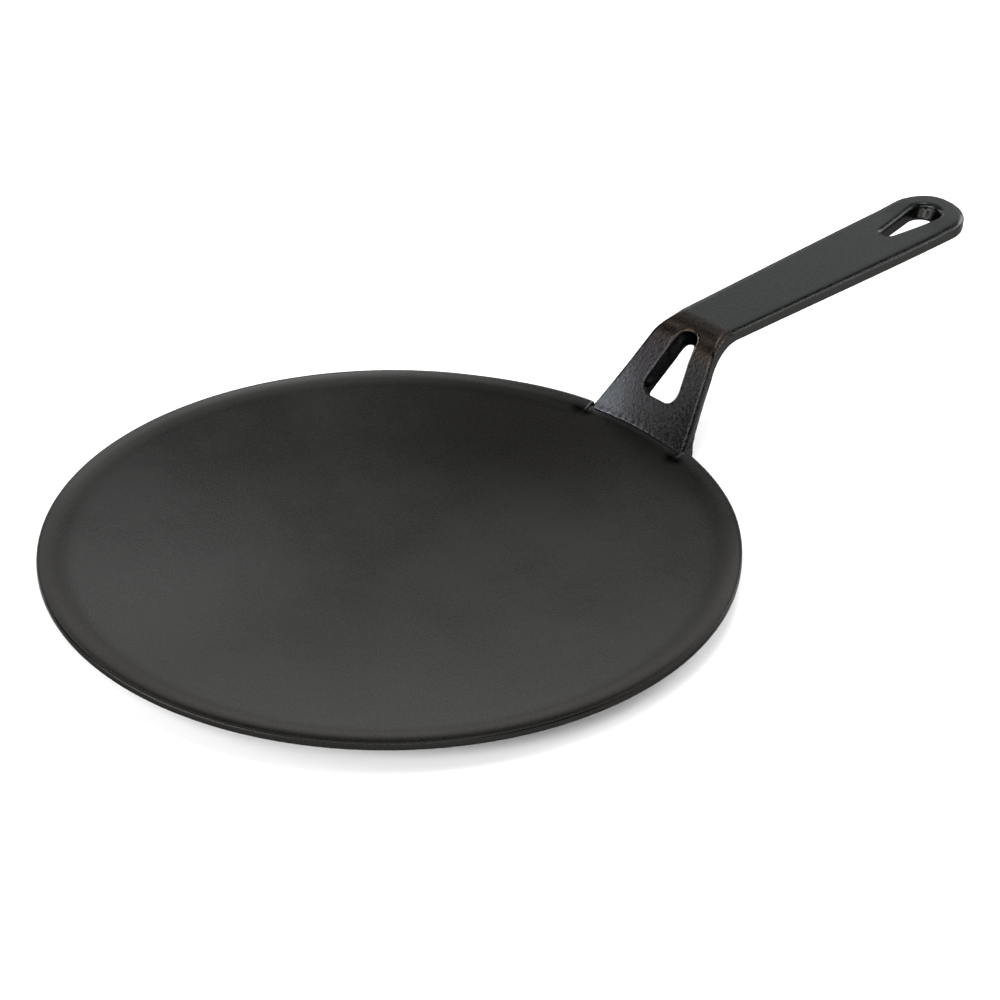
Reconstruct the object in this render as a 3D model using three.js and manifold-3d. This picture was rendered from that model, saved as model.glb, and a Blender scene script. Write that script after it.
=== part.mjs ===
// Cast-iron tawa: a shallow round griddle plate with a cast handle that rises from its rim.
// Units are millimetres and +Z is up. The origin is the centre of the flat base, on the surface it stands on.
// The handle points along +X, and the plane Y = 0 is its plane of symmetry.

import * as THREE from 'three';
import { mergeVertices } from 'three/addons/utils/BufferGeometryUtils.js';
import Module from 'manifold-3d';

const wasm = await Module();
wasm.setup();

// Griddle plate
const RIM_RADIUS = 130;          // outside of the rim
const RIM_HEIGHT = 12;           // crest of the lip above the surface that the tawa stands on
const RIM_WALL = 2.8;            // height of the rim's outside wall, with its rounded edges
const CREST_ROUND = 0.8;         // rounding of the lip's crest
const LIP_WIDTH = 6;             // the lip starts this far inside the rim
const LIP_RISE = 2;              // crest above the cooking surface where the lip starts
const LIP_SHARPNESS = 3;         // power of the lip's curve, so that it turns up late and smoothly
const CENTRE_THICKNESS = 4.4;    // casting at the middle of the plate
const EDGE_THICKNESS = 3.3;      // casting where the lip starts
const BASE_RADIUS = 55;          // flat part of the underside
const UNDERSIDE_POWER = 1.6;     // how gently the underside leaves the flat base

// Seat of the handle
const FOOT_SETBACK = 1;          // the riser's face starts this far inside the rim
const ROOT_THICKNESS = 7;      // handle's root, through the rim
const ROOT_BOTTOM = 4.8;         // underside of the root above the surface that the tawa stands on
const ROOT_REACH = 9;            // how far the root's toe reaches in under the plate from the riser's face
const ROOT_HEEL_ROUND = 4;       // rounding between the root's underside and its upright back
const ROOT_SHOULDER = 1.2;       // the root's back stays upright to this height above the crest
const ROOT_FILLET = 7;           // fillet from the root's back to the riser's back, along each side
const SEAT_GAP = 0.3;            // clearance between the plate and the handle's root

// Riser
const RISER_ANGLE = 53.8;        // degrees from level
const RISER_LENGTH = 44.2;       // along the face, from the foot to the corner of the bend
const RISER_THICKNESS = 5.3;
const FOOT_WIDTH = 50.2;
const SHOULDER_WIDTH = 34.7;     // where the bend starts
const RISER_EDGE_ROUND = 1.15;
const BEND_OUTER_RADIUS = 18;
const BEND_INNER_RADIUS = 20;

// Window in the riser, a triangle with round corners that narrows from the face to the back. Each side is given
// where it meets the plane of the face, and then how much it has changed at the plane of the back.
const WINDOW_BOTTOM = 13.2;      // above the foot, along the face
const WINDOW_TOP = 44.4;
const WINDOW_HALF_WIDTH = 8.9;   // at the centres of the lower corners
const WINDOW_CORNER_RADIUS = 5.2;
const WINDOW_TOP_RADIUS = 4.6;
const WINDOW_BOTTOM_LEAN = 1.4;  // all four: over the riser's thickness
const WINDOW_TOP_LEAN = 5.2;
const WINDOW_SIDE_LEAN = 2.2;
const WINDOW_CORNER_LOSS = 2;    // taken off the corner radius at the back
const WINDOW_CROWN_LOSS = 2.45;  // taken off the top radius at the back

// Grip
const GRIP_PITCH = 2.1;          // degrees, rising towards the end
const GRIP_LENGTH = 136.1;       // from the corner of the bend to the centre of the round end
const GRIP_THICKNESS = 5.9;
const NECK_WIDTH = 29.1;         // just past the bend
const GRIP_END_WIDTH = 33.7;
const GRIP_EDGE_ROUND = 2.05;
const SIDE_DRAFT = 0.3;          // each side leans in by this much from the top to the underside

// Teardrop hole that the tawa hangs by, which narrows from the top to the underside
const HANG_HOLE_RADIUS = 6.8;    // round end
const HANG_HOLE_OFFSET = 1;      // centre of that round end, past the centre of the grip's end
const HANG_HOLE_LENGTH = 22.5;   // between the centres of the large and the small round
const HANG_HOLE_SMALL_RADIUS = 3;
const HANG_HOLE_LEAN = 2.2;      // both centres lie this much nearer to the plate at the underside
const HANG_HOLE_LOSS = 1;        // taken off the large radius at the underside
const HANG_HOLE_SMALL_LOSS = 0.4;

// Fineness of the curves
const PLATE_STEPS = 96;
const TOE_STATIONS = 7;
const ROOT_STATIONS = 2;
const RISER_STATIONS = 10;
const BEND_STATIONS = 10;
const GRIP_STATIONS = 14;
const CORNER_STEPS = 3;
const FACE_STEPS = 6;
const END_STATIONS = 12;
const HOLE_STEPS = 10;
const LOOP_STEPS = 12;
const CUTTER_REACH = 3.2;

const radians = THREE.MathUtils.degToRad;

// Solids: three.js geometry to a closed manifold, without the triangles that shrank to a line, and back

function solid(geometry) {
  const bare = geometry.clone();
  bare.deleteAttribute('normal');
  bare.deleteAttribute('uv');
  const merged = mergeVertices(bare, 1e-4);
  const corners = merged.index.array;
  const triangles = [];
  for (let i = 0; i < corners.length; i += 3) {
    const [a, b, c] = [corners[i], corners[i + 1], corners[i + 2]];
    if (a !== b && b !== c && c !== a) {
      triangles.push(a, b, c);
    }
  }
  return new wasm.Manifold(new wasm.Mesh({
    numProp: 3,
    vertProperties: new Float32Array(merged.attributes.position.array),
    triVerts: new Uint32Array(triangles),
  }));
}

function geometryOf(manifold) {
  const mesh = manifold.getMesh();
  const geometry = new THREE.BufferGeometry();
  geometry.setAttribute('position', new THREE.BufferAttribute(mesh.vertProperties, 3));
  geometry.setIndex(new THREE.BufferAttribute(mesh.triVerts, 1));
  geometry.computeVertexNormals();
  return geometry;
}

// A solid of revolution about Z, from a profile of [radius, height] points
function revolved(profile, steps) {
  const points = profile.map(([radius, height]) => new THREE.Vector2(radius, height));
  const geometry = new THREE.LatheGeometry(points, steps);
  geometry.rotateX(Math.PI / 2);
  return solid(geometry);
}

// Griddle plate

const LIP_START = RIM_RADIUS - LIP_WIDTH;
const CREST_RADIUS = RIM_RADIUS - CREST_ROUND;
const RIM_BOTTOM = RIM_HEIGHT - RIM_WALL;
const SURFACE_AT_LIP = RIM_HEIGHT - LIP_RISE;
const UNDERSIDE_AT_LIP = SURFACE_AT_LIP - EDGE_THICKNESS;

// Height of the dished cooking surface, without the lip
function surfaceHeight(radius) {
  return CENTRE_THICKNESS + (SURFACE_AT_LIP - CENTRE_THICKNESS) * (radius / LIP_START) ** 2;
}

// Height of the underside, which turns up more sharply beneath the lip to meet the rim's bottom edge
function underside(radius) {
  const span = LIP_START - BASE_RADIUS;
  if (radius <= LIP_START) {
    return UNDERSIDE_AT_LIP * Math.max((radius - BASE_RADIUS) / span, 0) ** UNDERSIDE_POWER;
  }
  const slope = UNDERSIDE_POWER * UNDERSIDE_AT_LIP / span;
  const reach = radius - LIP_START;
  const lipSpan = CREST_RADIUS - LIP_START;
  const curve = (RIM_BOTTOM - UNDERSIDE_AT_LIP - slope * lipSpan) / lipSpan ** 2;
  return UNDERSIDE_AT_LIP + slope * reach + curve * reach ** 2;
}

function lipHeight(radius) {
  const reach = (radius - LIP_START) / (CREST_RADIUS - LIP_START);
  const rise = RIM_HEIGHT - surfaceHeight(CREST_RADIUS);
  return surfaceHeight(radius) + rise * reach ** LIP_SHARPNESS;
}

// Outline of half the plate, from the middle of its base round the rim to the middle of its top
function plateProfile() {
  const profile = [[0, 0]];
  const steps = (from, to, count) => {
    return Array.from({ length: count + 1 }, (_, i) => THREE.MathUtils.lerp(from, to, i / count));
  };
  for (const radius of steps(BASE_RADIUS, LIP_START, 8)) {
    profile.push([radius, underside(radius)]);
  }
  for (const radius of steps(LIP_START, CREST_RADIUS, 3).slice(1)) {
    profile.push([radius, underside(radius)]);
  }
  profile.push([RIM_RADIUS, RIM_BOTTOM + CREST_ROUND]);
  for (const angle of steps(0, Math.PI / 2, 3)) {
    profile.push([
      CREST_RADIUS + CREST_ROUND * Math.cos(angle),
      RIM_HEIGHT - CREST_ROUND + CREST_ROUND * Math.sin(angle),
    ]);
  }
  for (const radius of steps(CREST_RADIUS, LIP_START, 5).slice(1)) {
    profile.push([radius, lipHeight(radius)]);
  }
  for (const radius of steps(LIP_START, 0, 7).slice(1)) {
    profile.push([radius, surfaceHeight(radius)]);
  }
  return profile;
}

// Handle: two side-view paths. The front one is the riser's face and the grip's top,
// and the back one is the riser's back and the grip's underside.

const FOOT_RADIUS = RIM_RADIUS - FOOT_SETBACK;
const foot = new THREE.Vector2(FOOT_RADIUS, surfaceHeight(FOOT_RADIUS));
const riserUp = new THREE.Vector2(Math.cos(radians(RISER_ANGLE)), Math.sin(radians(RISER_ANGLE)));
const riserIn = new THREE.Vector2(riserUp.y, -riserUp.x);
const gripOut = new THREE.Vector2(Math.cos(radians(GRIP_PITCH)), Math.sin(radians(GRIP_PITCH)));
const gripDown = new THREE.Vector2(gripOut.y, -gripOut.x);
const bendTurn = radians(RISER_ANGLE - GRIP_PITCH);
const bendCorner = foot.clone().addScaledVector(riserUp, RISER_LENGTH);
const gripEnd = bendCorner.clone().addScaledVector(gripOut, GRIP_LENGTH);

// Frame with the grip level and its end's centre at the origin. The handle is shaped and cut there,
// so that the grip's faces are exactly flat, and is tipped into its place last.
const gripFrame = new THREE.Matrix4().makeBasis(
  new THREE.Vector3(gripOut.x, 0, gripOut.y),
  new THREE.Vector3(0, 1, 0),
  new THREE.Vector3(-gripOut.y, 0, gripOut.x),
);
gripFrame.setPosition(gripEnd.x, 0, gripEnd.y);
const intoGripFrame = gripFrame.clone().invert();

// Where the line from a along u meets the line from b along v
function crossing(a, u, b, v) {
  const gap = b.clone().sub(a);
  const reach = gap.cross(v) / u.cross(v);
  return a.clone().addScaledVector(u, reach);
}

// Round bend of a given radius at a corner: its start, its end and a function that gives its points
function bendAt(corner, radius) {
  const tangent = radius * Math.tan(bendTurn / 2);
  const start = corner.clone().addScaledVector(riserUp, -tangent);
  const centre = start.clone().addScaledVector(riserIn, radius);
  const end = corner.clone().addScaledVector(gripOut, tangent);
  const pointAt = (share) => start.clone().rotateAround(centre, -bendTurn * share);
  return { start, end, pointAt };
}

const frontBend = bendAt(bendCorner, BEND_OUTER_RADIUS);
const riserBack = foot.clone().addScaledVector(riserIn, RISER_THICKNESS);
const gripUnder = bendCorner.clone().addScaledVector(gripDown, GRIP_THICKNESS);
const backBend = bendAt(crossing(riserBack, riserUp, gripUnder, gripOut), BEND_INNER_RADIUS);

// The root: a toe that lies under the plate's edge, a rounded heel and an upright back
const toeRadius = FOOT_RADIUS - ROOT_REACH;
const rootBack = FOOT_RADIUS + ROOT_THICKNESS;
const heelTop = new THREE.Vector2(rootBack, ROOT_BOTTOM + ROOT_HEEL_ROUND);
const heelCorner = new THREE.Vector2(rootBack, ROOT_BOTTOM);
const heelStart = new THREE.Vector2(rootBack - ROOT_HEEL_ROUND, ROOT_BOTTOM);
const toeUnderside = new THREE.CurvePath();
toeUnderside.add(new THREE.LineCurve(new THREE.Vector2(toeRadius, ROOT_BOTTOM), heelStart));
toeUnderside.add(new THREE.QuadraticBezierCurve(heelStart, heelCorner, heelTop));
const toeTop = (t) => {
  const radius = THREE.MathUtils.lerp(toeRadius, FOOT_RADIUS, t);
  return new THREE.Vector2(radius, underside(radius) - SEAT_GAP);
};
const rootTop = new THREE.Vector2(rootBack, RIM_HEIGHT + ROOT_SHOULDER);
const rootCorner = crossing(rootTop, new THREE.Vector2(0, 1), riserBack, riserUp);
const filletEnd = rootCorner.clone().addScaledVector(riserUp, ROOT_FILLET);
const riserBackPath = new THREE.CurvePath();
riserBackPath.add(new THREE.QuadraticBezierCurve(rootTop, rootCorner, filletEnd));
riserBackPath.add(new THREE.LineCurve(filletEnd, backBend.start));

function between(a, b, share) {
  return a.clone().lerp(b, share);
}

// The handle's stretches in order. Each gives its front and back points, its half width,
// its edge rounding and how much of the foot's bow it keeps.
const stretches = [
  {
    stations: TOE_STATIONS,
    front: toeTop,
    back: (t) => toeUnderside.getPointAt(t),
    halfWidth: () => FOOT_WIDTH / 2,
    round: () => RISER_EDGE_ROUND,
    bow: () => 1,
  },
  {
    stations: ROOT_STATIONS,
    front: (t) => between(toeTop(1), foot, t),
    back: (t) => between(heelTop, rootTop, t),
    halfWidth: () => FOOT_WIDTH / 2,
    round: () => RISER_EDGE_ROUND,
    bow: () => 1,
  },
  {
    stations: RISER_STATIONS,
    front: (t) => between(foot, frontBend.start, t),
    back: (t) => riserBackPath.getPointAt(t),
    halfWidth: (t) => THREE.MathUtils.lerp(FOOT_WIDTH, SHOULDER_WIDTH, t) / 2,
    round: () => RISER_EDGE_ROUND,
    bow: (t) => 1 - t,
  },
  {
    stations: BEND_STATIONS,
    front: frontBend.pointAt,
    back: backBend.pointAt,
    halfWidth: (t) => THREE.MathUtils.lerp(SHOULDER_WIDTH, NECK_WIDTH, t * (2 - t)) / 2,
    round: (t) => THREE.MathUtils.lerp(RISER_EDGE_ROUND, GRIP_EDGE_ROUND, t),
    bow: () => 0,
  },
  {
    stations: GRIP_STATIONS,
    front: (t) => between(frontBend.end, gripEnd, t),
    back: (t) => between(backBend.end, gripEnd.clone().addScaledVector(gripDown, GRIP_THICKNESS), t),
    halfWidth: (t) => {
      return THREE.MathUtils.lerp(NECK_WIDTH, GRIP_END_WIDTH, THREE.MathUtils.smoothstep(t, 0, 1)) / 2;
    },
    round: () => GRIP_EDGE_ROUND,
    bow: () => 0,
  },
];

// A quarter round as [across, deep] offsets from a square corner
function quarterRound(radius) {
  const points = [];
  for (let i = 0; i <= CORNER_STEPS; i += 1) {
    const angle = Math.PI / 2 * i / CORNER_STEPS;
    points.push([radius * (1 - Math.sin(angle)), radius * (1 - Math.cos(angle))]);
  }
  return points;
}

// One closed section, as [y, depth] points: front face from +Y to -Y, then the back face the other way
function sectionOutline(halfWidth, depth, round) {
  const backHalf = halfWidth - SIDE_DRAFT;
  const corner = quarterRound(round);
  const outline = [];
  for (let i = 0; i < FACE_STEPS; i += 1) {
    outline.push([THREE.MathUtils.lerp(1, -1, i / FACE_STEPS) * (halfWidth - round), 0]);
  }
  for (const [across, deep] of corner) {
    outline.push([-halfWidth + across, deep]);
  }
  for (const [across, deep] of corner.toReversed()) {
    outline.push([-backHalf + across, depth - deep]);
  }
  for (let i = 1; i < FACE_STEPS; i += 1) {
    outline.push([THREE.MathUtils.lerp(-1, 1, i / FACE_STEPS) * (backHalf - round), depth]);
  }
  for (const [across, deep] of corner) {
    outline.push([backHalf - across, depth - deep]);
  }
  for (const [across, deep] of corner.toReversed().slice(0, -1)) {
    outline.push([halfWidth - across, deep]);
  }
  return outline;
}

// The riser's foot follows the round plate: how far a point at this y falls back from the middle of the face
function bowAt(y) {
  return FOOT_RADIUS - Math.sqrt(FOOT_RADIUS ** 2 - y ** 2);
}

function stationRing(stretch, t) {
  const front = stretch.front(t);
  const deep = stretch.back(t).sub(front);
  const depth = deep.length();
  const round = Math.min(stretch.round(t), depth / 3);
  deep.normalize();
  return sectionOutline(stretch.halfWidth(t), depth, round).map(([y, inward]) => {
    const side = front.clone().addScaledVector(deep, inward);
    const point = new THREE.Vector3(side.x - stretch.bow(t) * bowAt(y), y, side.y);
    return point.applyMatrix4(intoGripFrame);
  });
}

// Round end of the grip: both halves of its last section turn about the end's centre until they meet
function endRing(turn) {
  const outline = sectionOutline(GRIP_END_WIDTH / 2, GRIP_THICKNESS, GRIP_EDGE_ROUND);
  const ahead = Math.sin(turn);
  const across = Math.cos(turn);
  return outline.map(([y, deep]) => new THREE.Vector3(Math.abs(y) * ahead, y * across, -deep));
}

// Solid through a row of rings that have the same number of points: a fan closes the first ring,
// and the last ring is folded flat, so that its two halves close it
function lofted(rings) {
  const count = rings[0].length;
  const points = rings.flat();
  const index = [];
  for (let r = 0; r < rings.length - 1; r += 1) {
    for (let i = 0; i < count; i += 1) {
      const a = r * count + i;
      const b = r * count + (i + 1) % count;
      index.push(a, b, b + count, a, b + count, a + count);
    }
  }
  points.push(rings[0].reduce((sum, point) => sum.add(point), new THREE.Vector3()).divideScalar(count));
  for (let i = 0; i < count; i += 1) {
    index.push(points.length - 1, (i + 1) % count, i);
  }
  const positions = points.flatMap((point) => point.toArray());
  const geometry = new THREE.BufferGeometry();
  geometry.setAttribute('position', new THREE.Float32BufferAttribute(positions, 3));
  geometry.setIndex(index);
  return solid(geometry);
}

function handleBar() {
  const rings = [];
  stretches.forEach((stretch, order) => {
    for (let i = order === 0 ? 0 : 1; i <= stretch.stations; i += 1) {
      rings.push(stationRing(stretch, i / stretch.stations));
    }
  });
  for (let i = 1; i <= END_STATIONS; i += 1) {
    rings.push(endRing(Math.PI / 2 * i / END_STATIONS));
  }
  return lofted(rings);
}

// Points of the loop that a string pulled tight round some discs follows, anticlockwise. A disc is [x, y, radius].
function stringLoop(discs) {
  const leaving = discs.map(([x, y, radius], i) => {
    const [nextX, nextY, nextRadius] = discs[(i + 1) % discs.length];
    const run = Math.hypot(nextX - x, nextY - y);
    return Math.atan2(nextY - y, nextX - x) - Math.acos((radius - nextRadius) / run);
  });
  return discs.flatMap(([x, y, radius], i) => {
    const from = leaving[(i + discs.length - 1) % discs.length];
    const turn = ((leaving[i] - from) % (2 * Math.PI) + 2 * Math.PI) % (2 * Math.PI);
    return Array.from({ length: LOOP_STEPS + 1 }, (_, k) => {
      const angle = from + turn * k / LOOP_STEPS;
      return new THREE.Vector2(x + radius * Math.cos(angle), y + radius * Math.sin(angle));
    });
  });
}

// Cutter through a wall whose face is the XY plane and whose iron lies below it, from a loop on the face to a loop
// at the wall's back. It reaches a little past both, in the same lean.
function leaningCutter(faceLoop, backLoop, thickness) {
  const count = faceLoop.length;
  const levels = [CUTTER_REACH, -thickness - CUTTER_REACH];
  const points = levels.flatMap((level) => faceLoop.map((point, i) => {
    const { x, y } = point.clone().lerp(backLoop[i], -level / thickness);
    return new THREE.Vector3(x, y, level);
  }));
  levels.forEach((level, end) => {
    const ring = points.slice(end * count, (end + 1) * count);
    points.push(ring.reduce((sum, point) => sum.add(point), new THREE.Vector3()).divideScalar(count));
  });
  const index = [];
  for (let i = 0; i < count; i += 1) {
    const next = (i + 1) % count;
    index.push(i, count + i, count + next, i, count + next, next);
    index.push(2 * count, i, next, 2 * count + 1, count + next, count + i);
  }
  const geometry = new THREE.BufferGeometry();
  geometry.setAttribute('position', new THREE.Float32BufferAttribute(points.flatMap((point) => point.toArray()), 3));
  geometry.setIndex(index);
  return solid(geometry);
}

// The riser's window: two lower corners and a narrow round top. Its share of the lean is 0 at the face, 1 at the back.
function windowLoop(lean) {
  const corner = WINDOW_CORNER_RADIUS - lean * WINDOW_CORNER_LOSS;
  const crown = WINDOW_TOP_RADIUS - lean * WINDOW_CROWN_LOSS;
  const side = WINDOW_HALF_WIDTH - lean * WINDOW_SIDE_LEAN - corner;
  const low = WINDOW_BOTTOM - lean * WINDOW_BOTTOM_LEAN + corner;
  const high = WINDOW_TOP - lean * WINDOW_TOP_LEAN - crown;
  return stringLoop([[-side, low, corner], [side, low, corner], [0, high, crown]]);
}

function windowCutter() {
  const riserFrame = new THREE.Matrix4().makeBasis(
    new THREE.Vector3(0, -1, 0),
    new THREE.Vector3(riserUp.x, 0, riserUp.y),
    new THREE.Vector3(-riserUp.y, 0, riserUp.x),
  );
  riserFrame.setPosition(foot.x, 0, foot.y);
  const cutter = geometryOf(leaningCutter(windowLoop(0), windowLoop(1), RISER_THICKNESS));
  return solid(cutter.applyMatrix4(riserFrame).applyMatrix4(intoGripFrame));
}

// The hang hole's loop in the grip's own frame, for a share of the lean: 0 on top, 1 at the underside
function hangHoleLoop(lean) {
  const centre = HANG_HOLE_OFFSET - lean * HANG_HOLE_LEAN;
  return stringLoop([
    [centre, 0, HANG_HOLE_RADIUS - lean * HANG_HOLE_LOSS],
    [centre - HANG_HOLE_LENGTH, 0, HANG_HOLE_SMALL_RADIUS - lean * HANG_HOLE_SMALL_LOSS],
  ]);
}

function hangHoleCutter() {
  return leaningCutter(hangHoleLoop(0), hangHoleLoop(1), GRIP_THICKNESS);
}

function handleGeometry() {
  const handle = handleBar().subtract(windowCutter()).subtract(hangHoleCutter());
  return geometryOf(handle).applyMatrix4(gripFrame);
}

// The place that the root takes out of the rim, and the lip that is turned away in front of the riser
function seatCutter() {
  const half = FOOT_WIDTH / 2 + SEAT_GAP;
  const radius = FOOT_RADIUS - SEAT_GAP;
  const angle = Math.asin(half / radius);
  const shape = new THREE.Shape();
  shape.absarc(0, 0, radius, -angle, angle, false);
  shape.lineTo(RIM_RADIUS + SEAT_GAP, half);
  shape.lineTo(RIM_RADIUS + SEAT_GAP, -half);
  shape.closePath();
  const geometry = new THREE.ExtrudeGeometry(shape, {
    depth: 2 * RIM_HEIGHT,
    bevelEnabled: false,
    curveSegments: HOLE_STEPS,
  });
  return solid(geometry);
}

function landingCutter() {
  const half = FOOT_WIDTH / 2 + SEAT_GAP;
  const top = 2 * RIM_HEIGHT;
  const ring = revolved([
    [LIP_START, surfaceHeight(LIP_START)],
    [RIM_RADIUS + LIP_WIDTH, surfaceHeight(RIM_RADIUS + LIP_WIDTH)],
    [RIM_RADIUS + LIP_WIDTH, top],
    [LIP_START, top],
    [LIP_START, surfaceHeight(LIP_START)],
  ], PLATE_STEPS);
  const strip = new THREE.BoxGeometry(RIM_RADIUS + LIP_WIDTH, 2 * half, 2 * top);
  strip.translate(RIM_RADIUS + LIP_WIDTH, 0, 0);
  return ring.intersect(solid(strip));
}

function plateGeometry() {
  return geometryOf(revolved(plateProfile(), PLATE_STEPS).subtract(landingCutter()).subtract(seatCutter()));
}

// The assembly

const turnedIron = new THREE.MeshStandardMaterial({ color: 0x3a3a3a, roughness: 0.55, metalness: 0.3 });
const castIron = new THREE.MeshStandardMaterial({ color: 0x34322f, roughness: 0.5, metalness: 0.35 });

function named(name, geometry, material) {
  const mesh = new THREE.Mesh(geometry, material);
  mesh.name = name;
  return mesh;
}

const tawa = new THREE.Group();
tawa.add(named('griddle_plate', plateGeometry(), turnedIron));
tawa.add(named('handle', handleGeometry(), castIron));

export default tawa;
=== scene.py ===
# %% [markdown]
# # Cast-iron tawa, dressed for the camera
#
# The real object is one iron casting: a shallow round griddle plate whose top was turned smooth on a lathe, and a
# handle that was left as it came out of the sand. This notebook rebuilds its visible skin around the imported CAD
# model. That model is the fixed frame. Each new piece stands exactly where its CAD node is.

# %% Load the frame
import math

import bmesh
import bpy
import numpy as np
from mathutils import Matrix, Vector


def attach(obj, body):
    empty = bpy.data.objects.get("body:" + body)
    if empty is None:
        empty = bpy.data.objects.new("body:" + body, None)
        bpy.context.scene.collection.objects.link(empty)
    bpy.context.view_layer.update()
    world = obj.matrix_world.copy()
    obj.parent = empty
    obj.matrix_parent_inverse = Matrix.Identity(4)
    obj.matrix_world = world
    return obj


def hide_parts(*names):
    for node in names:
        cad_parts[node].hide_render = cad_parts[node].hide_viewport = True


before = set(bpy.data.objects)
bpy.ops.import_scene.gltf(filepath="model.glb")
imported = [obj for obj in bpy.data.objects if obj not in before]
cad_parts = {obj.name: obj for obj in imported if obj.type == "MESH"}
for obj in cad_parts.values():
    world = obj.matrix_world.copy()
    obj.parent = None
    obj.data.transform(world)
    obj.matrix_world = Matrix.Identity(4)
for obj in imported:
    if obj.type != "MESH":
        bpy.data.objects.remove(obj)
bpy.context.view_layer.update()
MM = 0.001
print("CAD nodes:", sorted(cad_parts))

# %% [markdown]
# ## From an array to a mesh
#
# Every piece below is worked out as arrays of points and faces, in millimetres, as on a drawing. A mesh could be
# built vertex by vertex in bmesh, but that is slow for so many points. So one helper writes whole arrays into the
# mesh with foreach_set, in metres, and leaves the object at the origin with its place in its mesh.

# %% Mesh helpers
def ease(share):
    """Soft step from 0 to 1: three times the square less twice the cube."""
    return share * share * (3 - 2 * share)


def squares(rows, columns, start=0, closed=False):
    """Four-sided faces of a grid whose points are numbered row by row. A closed grid joins its last column to its
    first."""
    row, column = np.meshgrid(np.arange(rows - 1), np.arange(columns if closed else columns - 1), indexing="ij")
    here, beside = start + row * columns + column, start + row * columns + (column + 1) % columns
    return np.stack([here, beside, beside + columns, here + columns], -1).reshape(-1, 4)


def make_piece(name, points, quads, triangles, notes=None):
    """Object from points in millimetres, four-sided faces and three-sided faces, all smooth.
    Notes are numbers kept for each point under a name, which a material can read."""
    mesh = bpy.data.meshes.new(name)
    corners = np.concatenate([quads.ravel(), triangles.ravel()]).astype(np.int32)
    sizes = np.concatenate([np.full(len(quads), 4), np.full(len(triangles), 3)])
    starts = np.concatenate([[0], np.cumsum(sizes)[:-1]])
    mesh.vertices.add(len(points))
    mesh.vertices.foreach_set("co", (points * MM).astype(np.float32).ravel())
    mesh.loops.add(len(corners))
    mesh.loops.foreach_set("vertex_index", corners)
    mesh.polygons.add(len(sizes))
    mesh.polygons.foreach_set("loop_start", starts.astype(np.int32))
    mesh.polygons.foreach_set("use_smooth", np.ones(len(sizes), bool))
    mesh.update(calc_edges=True)
    for note, values in (notes or {}).items():
        mesh.attributes.new(note, "FLOAT", "POINT").data.foreach_set("value", values.astype(np.float32))
    mesh.validate()
    piece = bpy.data.objects.new(name, mesh)
    bpy.context.scene.collection.objects.link(piece)
    print(name, len(mesh.vertices), "vertices,", 2 * len(quads) + len(triangles), "triangles")
    return piece


# %% [markdown]
# ## The griddle plate
#
# On the real tawa the top is a very shallow dish, turned smooth, with a low lip that turns up only in its last eleven
# millimetres. The plate could be a Spin of one profile, but in front of the riser the lip is turned away so that the
# dough can slide out over a level landing. So the height of the top is a function of two parameters, the distance
# from the centre and the angle, and the lip's share of it fades out at the riser's corners.

# %% Sizes of the plate
RIM_RADIUS, RIM_HEIGHT, RIM_WALL, CREST_ROUND = 130.0, 12.0, 2.8, 0.8
LIP_WIDTH, LIP_RISE, LIP_SHARPNESS = 11.0, 2.36, 2.2
CENTRE_THICKNESS, EDGE_THICKNESS = 4.4, 3.3
BASE_RADIUS, UNDERSIDE_POWER = 55.0, 1.6
FOOT_RADIUS, FOOT_WIDTH = 129.0, 50.5  # where the riser's face meets the plate

LIP_START = RIM_RADIUS - LIP_WIDTH
CREST_RADIUS = RIM_RADIUS - CREST_ROUND
RIM_BOTTOM = RIM_HEIGHT - RIM_WALL
SURFACE_AT_LIP = RIM_HEIGHT - LIP_RISE
UNDERSIDE_AT_LIP = SURFACE_AT_LIP - EDGE_THICKNESS
print("plate", 2 * RIM_RADIUS, "mm across; the dish is", round(RIM_HEIGHT - CENTRE_THICKNESS, 1), "mm deep")

# %% Dish and underside
def dish_height(radius):
    """Cooking surface: the centre's thickness plus a share of its rise that grows with the square of the radius."""
    return CENTRE_THICKNESS + (SURFACE_AT_LIP - CENTRE_THICKNESS) * (radius / LIP_START) ** 2


def underside_height(radius):
    """Underside: flat in the middle, then a power of the reach past the flat, then a parabola up to the rim."""
    span = LIP_START - BASE_RADIUS
    outer = UNDERSIDE_AT_LIP * np.maximum((radius - BASE_RADIUS) / span, 0) ** UNDERSIDE_POWER
    slope = UNDERSIDE_POWER * UNDERSIDE_AT_LIP / span
    reach, lip_span = radius - LIP_START, CREST_RADIUS - LIP_START
    curve = (RIM_BOTTOM - UNDERSIDE_AT_LIP - slope * lip_span) / lip_span**2
    under_lip = UNDERSIDE_AT_LIP + slope * reach + curve * reach**2
    return np.where(radius <= LIP_START, outer, under_lip)


print("thickness at the lip's start", round(float(dish_height(LIP_START) - underside_height(LIP_START)), 2), "mm")

# %% Lip
LEFT_OVERLAP, LEFT_FADE = 1.6, 1.8  # the lip starts this far inside the riser's corner, and grows over this length
RIGHT_OVERLAP, RIGHT_FADE = 2.5, 4.0
SWELL_RISE, SWELL_REACH = 0.6, 0.7  # the rim swells beside the handle, upwards and outwards
SWELL_MIDDLE, SWELL_START, SWELL_END = -8.0, 20.0, 43.0  # degrees: round this direction, whole to here, gone there
GROOVE_DEPTH, GROOVE_WIDTH = 0.28, 0.7  # the cutter's last mark along the foot


def lip_share(y, x):
    """How much of the lip stands at a point: all of it, except in front of the riser, where it was turned away.
    It ends short and steep at the riser's left corner, and runs out more slowly at its right corner."""
    past_corner = np.abs(y) - FOOT_WIDTH / 2
    left, right = (past_corner + LEFT_OVERLAP) / LEFT_FADE, (past_corner + RIGHT_OVERLAP) / RIGHT_FADE
    return np.where(x > 0, ease(np.clip(np.where(y > 0, left, right), 0, 1)), 1.0)


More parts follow.
